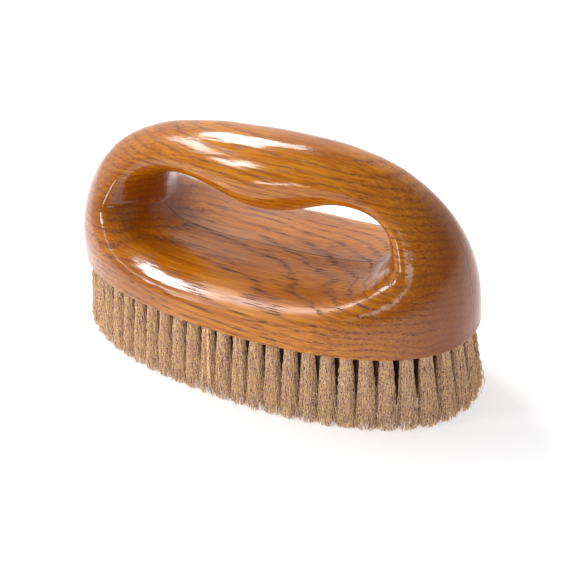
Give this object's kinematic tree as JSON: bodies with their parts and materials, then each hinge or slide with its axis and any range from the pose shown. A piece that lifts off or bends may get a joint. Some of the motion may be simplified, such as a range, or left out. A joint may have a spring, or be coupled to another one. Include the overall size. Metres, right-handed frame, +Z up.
{
  "type": "clothes brush",
  "caption": "Oval clothes brush with a closed hand loop over a wooden block, set with tufts of crimped wire bristle.",
  "frame": {"origin": "centre of the oval on the surface that the bristle tips stand on", "axes": "+X along the brush towards the taller end of the hand loop, +Y to the back, +Z up away from the bristle tips"},
  "size_m": [0.1528, 0.0758, 0.0804],
  "materials": {
    "lacquered_wood": "open grained wood stained amber under a clear gloss lacquer",
    "bristle_wire": "fine crimped brass wire, dull gold with purple brown tarnish"
  },
  "bodies": {
    "root": {"handle_half_front": "lacquered_wood", "handle_half_back": "lacquered_wood", "edge_tuft_01": "bristle_wire", "edge_tuft_02": "bristle_wire", "edge_tuft_03": "bristle_wire", "edge_tuft_04": "bristle_wire", "edge_tuft_05": "bristle_wire", "edge_tuft_06": "bristle_wire", "edge_tuft_07": "bristle_wire", "edge_tuft_08": "bristle_wire", "edge_tuft_09": "bristle_wire", "edge_tuft_10": "bristle_wire", "edge_tuft_11": "bristle_wire", "edge_tuft_12": "bristle_wire", "edge_tuft_13": "bristle_wire", "edge_tuft_14": "bristle_wire", "edge_tuft_15": "bristle_wire", "edge_tuft_16": "bristle_wire", "edge_tuft_17": "bristle_wire", "edge_tuft_18": "bristle_wire", "edge_tuft_19": "bristle_wire", "edge_tuft_20": "bristle_wire", "edge_tuft_21": "bristle_wire", "edge_tuft_22": "bristle_wire", "edge_tuft_23": "bristle_wire", "edge_tuft_24": "bristle_wire", "edge_tuft_25": "bristle_wire", "edge_tuft_26": "bristle_wire", "edge_tuft_27": "bristle_wire", "edge_tuft_28": "bristle_wire", "edge_tuft_29": "bristle_wire", "edge_tuft_30": "bristle_wire", "edge_tuft_31": "bristle_wire", "edge_tuft_32": "bristle_wire", "edge_tuft_33": "bristle_wire", "edge_tuft_34": "bristle_wire", "edge_tuft_35": "bristle_wire", "edge_tuft_36": "bristle_wire", "edge_tuft_37": "bristle_wire", "edge_tuft_38": "bristle_wire", "edge_tuft_39": "bristle_wire", "edge_tuft_40": "bristle_wire", "edge_tuft_41": "bristle_wire", "edge_tuft_42": "bristle_wire", "edge_tuft_43": "bristle_wire", "edge_tuft_44": "bristle_wire", "edge_tuft_45": "bristle_wire", "edge_tuft_46": "bristle_wire", "edge_tuft_47": "bristle_wire", "edge_tuft_48": "bristle_wire", "edge_tuft_49": "bristle_wire", "edge_tuft_50": "bristle_wire", "edge_tuft_51": "bristle_wire", "edge_tuft_52": "bristle_wire", "edge_tuft_53": "bristle_wire", "edge_tuft_54": "bristle_wire", "edge_tuft_55": "bristle_wire", "edge_tuft_56": "bristle_wire", "inner_tuft_field": "bristle_wire"}
  },
  "joints": []
}
